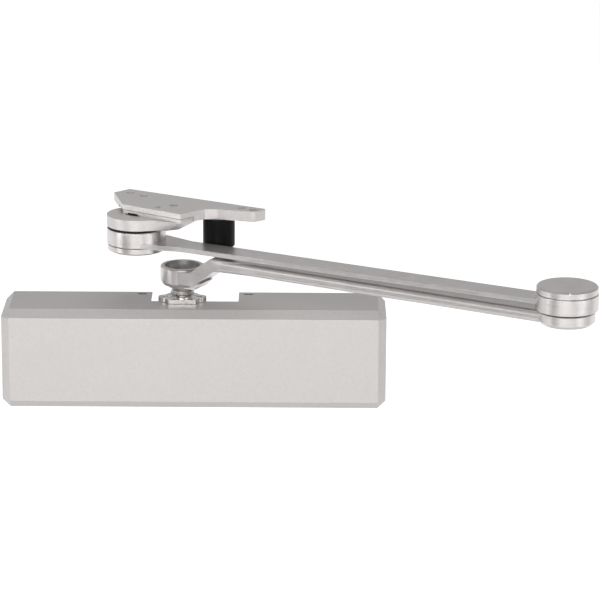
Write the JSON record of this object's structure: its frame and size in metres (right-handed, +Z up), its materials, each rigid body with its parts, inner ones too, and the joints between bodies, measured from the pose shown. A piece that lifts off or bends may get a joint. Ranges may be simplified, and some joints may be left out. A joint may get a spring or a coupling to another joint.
{
  "type": "door closer",
  "caption": "Surface door closer: bevelled box cover over a spring and rack body, with a folding two-bar arm, elbow and ceiling shoe with a stop bumper.",
  "frame": {"origin": "centre of the four door screws, on the door plane at the back of the body", "axes": "+X along the door to the right as seen facing the closer, +Y into the door, +Z up along the pinion axis"},
  "size_m": [0.4674, 0.256, 0.1607],
  "materials": {
    "silver_paint": "sprayed aluminium-colour paint, satin",
    "cast_body": "machined casting with a thin grey coat",
    "bright_steel": "bright turned steel",
    "zinc_steel": "zinc plated",
    "spring_steel": "oiled spring steel",
    "bearing_steel": "ground steel",
    "satin_arm": "fine brushed, silver satin",
    "satin_cast": "sprayed silver over a blasted casting",
    "bronze": "oiled sintered bearing metal",
    "black_rubber": "moulded rubber, slight sheen",
    "black_washer": "black plastic thrust washer"
  },
  "bodies": {
    "closer_body": {"cover": "silver_paint", "cover_clips": "spring_steel", "housing": "cast_body", "upper_needle_bearing": "bearing_steel", "lower_needle_bearing": "bearing_steel", "upper_shaft_seal": "black_rubber", "lower_shaft_seal": "black_rubber", "upper_bearing_cap": "bright_steel", "lower_bearing_cap": "bright_steel", "left_end_plug": "zinc_steel", "right_end_plug": "zinc_steel", "end_plug_seals": "black_rubber", "closer_spring": "spring_steel"},
    "piston_unit": {"piston": "bearing_steel", "check_valve_balls": "bearing_steel", "check_valve_retainers": "bearing_steel"},
    "main_arm_unit": {"pinion": "bright_steel", "main_arm": "satin_arm", "arm_washer": "zinc_steel", "arm_screw": "zinc_steel", "elbow_stud": "bearing_steel", "elbow_washer": "black_washer", "elbow_retaining_ring": "spring_steel"},
    "forearm_unit": {"forearm": "satin_arm", "elbow_bushing": "bronze", "shoe_bushing": "bronze", "elbow_cap": "satin_arm", "shoe_cap": "satin_arm"},
    "soffit_shoe_unit": {"soffit_shoe": "satin_cast", "shoe_stud": "bearing_steel", "shoe_washer": "black_washer", "shoe_retaining_ring": "spring_steel", "bumper": "black_rubber", "bumper_stud": "zinc_steel"},
    "sweep_valve_unit": {"sweep_valve": "zinc_steel"},
    "latch_valve_unit": {"latch_valve": "zinc_steel"},
    "backcheck_valve_unit": {"backcheck_valve": "zinc_steel"},
    "adjust_screw_unit": {"spring_adjust_screw": "zinc_steel"},
    "seat_nut_unit": {"spring_seat_nut": "bearing_steel"}
  },
  "joints": [
    {"name": "pinion_turn", "type": "hinge", "parent": "closer_body", "child": "main_arm_unit", "pos_m": [-0.01, -0.026, 0], "axis": [0, 0, 1], "range_deg": [-180, 0], "stiffness_Nm_per_rad": 6, "springref_deg": 114.59},
    {"name": "piston_slide", "type": "slide", "parent": "closer_body", "child": "piston_unit", "axis": [1, 0, 0], "range_m": [0, 0.0303], "deforming": ["closer_spring"]},
    {"name": "elbow_turn", "type": "hinge", "parent": "main_arm_unit", "child": "forearm_unit", "pos_m": [0.28794, -0.19594, 0.0915], "axis": [0, 0, 1], "range_deg": [-170, 170]},
    {"name": "shoe_turn", "type": "hinge", "parent": "forearm_unit", "child": "soffit_shoe_unit", "pos_m": [-0.04727, -0.01696, 0.0945], "axis": [0, 0, 1], "range_deg": [-1.5, 180]},
    {"name": "sweep_valve_turn", "type": "hinge", "parent": "closer_body", "child": "sweep_valve_unit", "pos_m": [-0.084, -0.05, 0.012], "axis": [0, 1, 0], "range_deg": [-180, 720]},
    {"name": "latch_valve_turn", "type": "hinge", "parent": "closer_body", "child": "latch_valve_unit", "pos_m": [-0.066, -0.05, 0.012], "axis": [0, 1, 0], "range_deg": [-180, 720]},
    {"name": "backcheck_valve_turn", "type": "hinge", "parent": "closer_body", "child": "backcheck_valve_unit", "pos_m": [0.034, -0.05, 0.012], "axis": [0, 1, 0], "range_deg": [-180, 720]},
    {"name": "adjust_screw_turn", "type": "hinge", "parent": "closer_body", "child": "adjust_screw_unit", "pos_m": [0.142, -0.026, 0], "axis": [1, 0, 0], "range_deg": [0, 1450]},
    {"name": "seat_nut_slide", "type": "slide", "parent": "closer_body", "child": "seat_nut_unit", "axis": [1, 0, 0], "range_m": [0, 0.006]}
  ],
  "couplings": [
    {"joint": "piston_slide", "follows": "pinion_turn", "m_per_rad": -0.0096244},
    {"joint": "adjust_screw_turn", "follows": "seat_nut_slide", "rad_per_m": 4188.8}
  ]
}
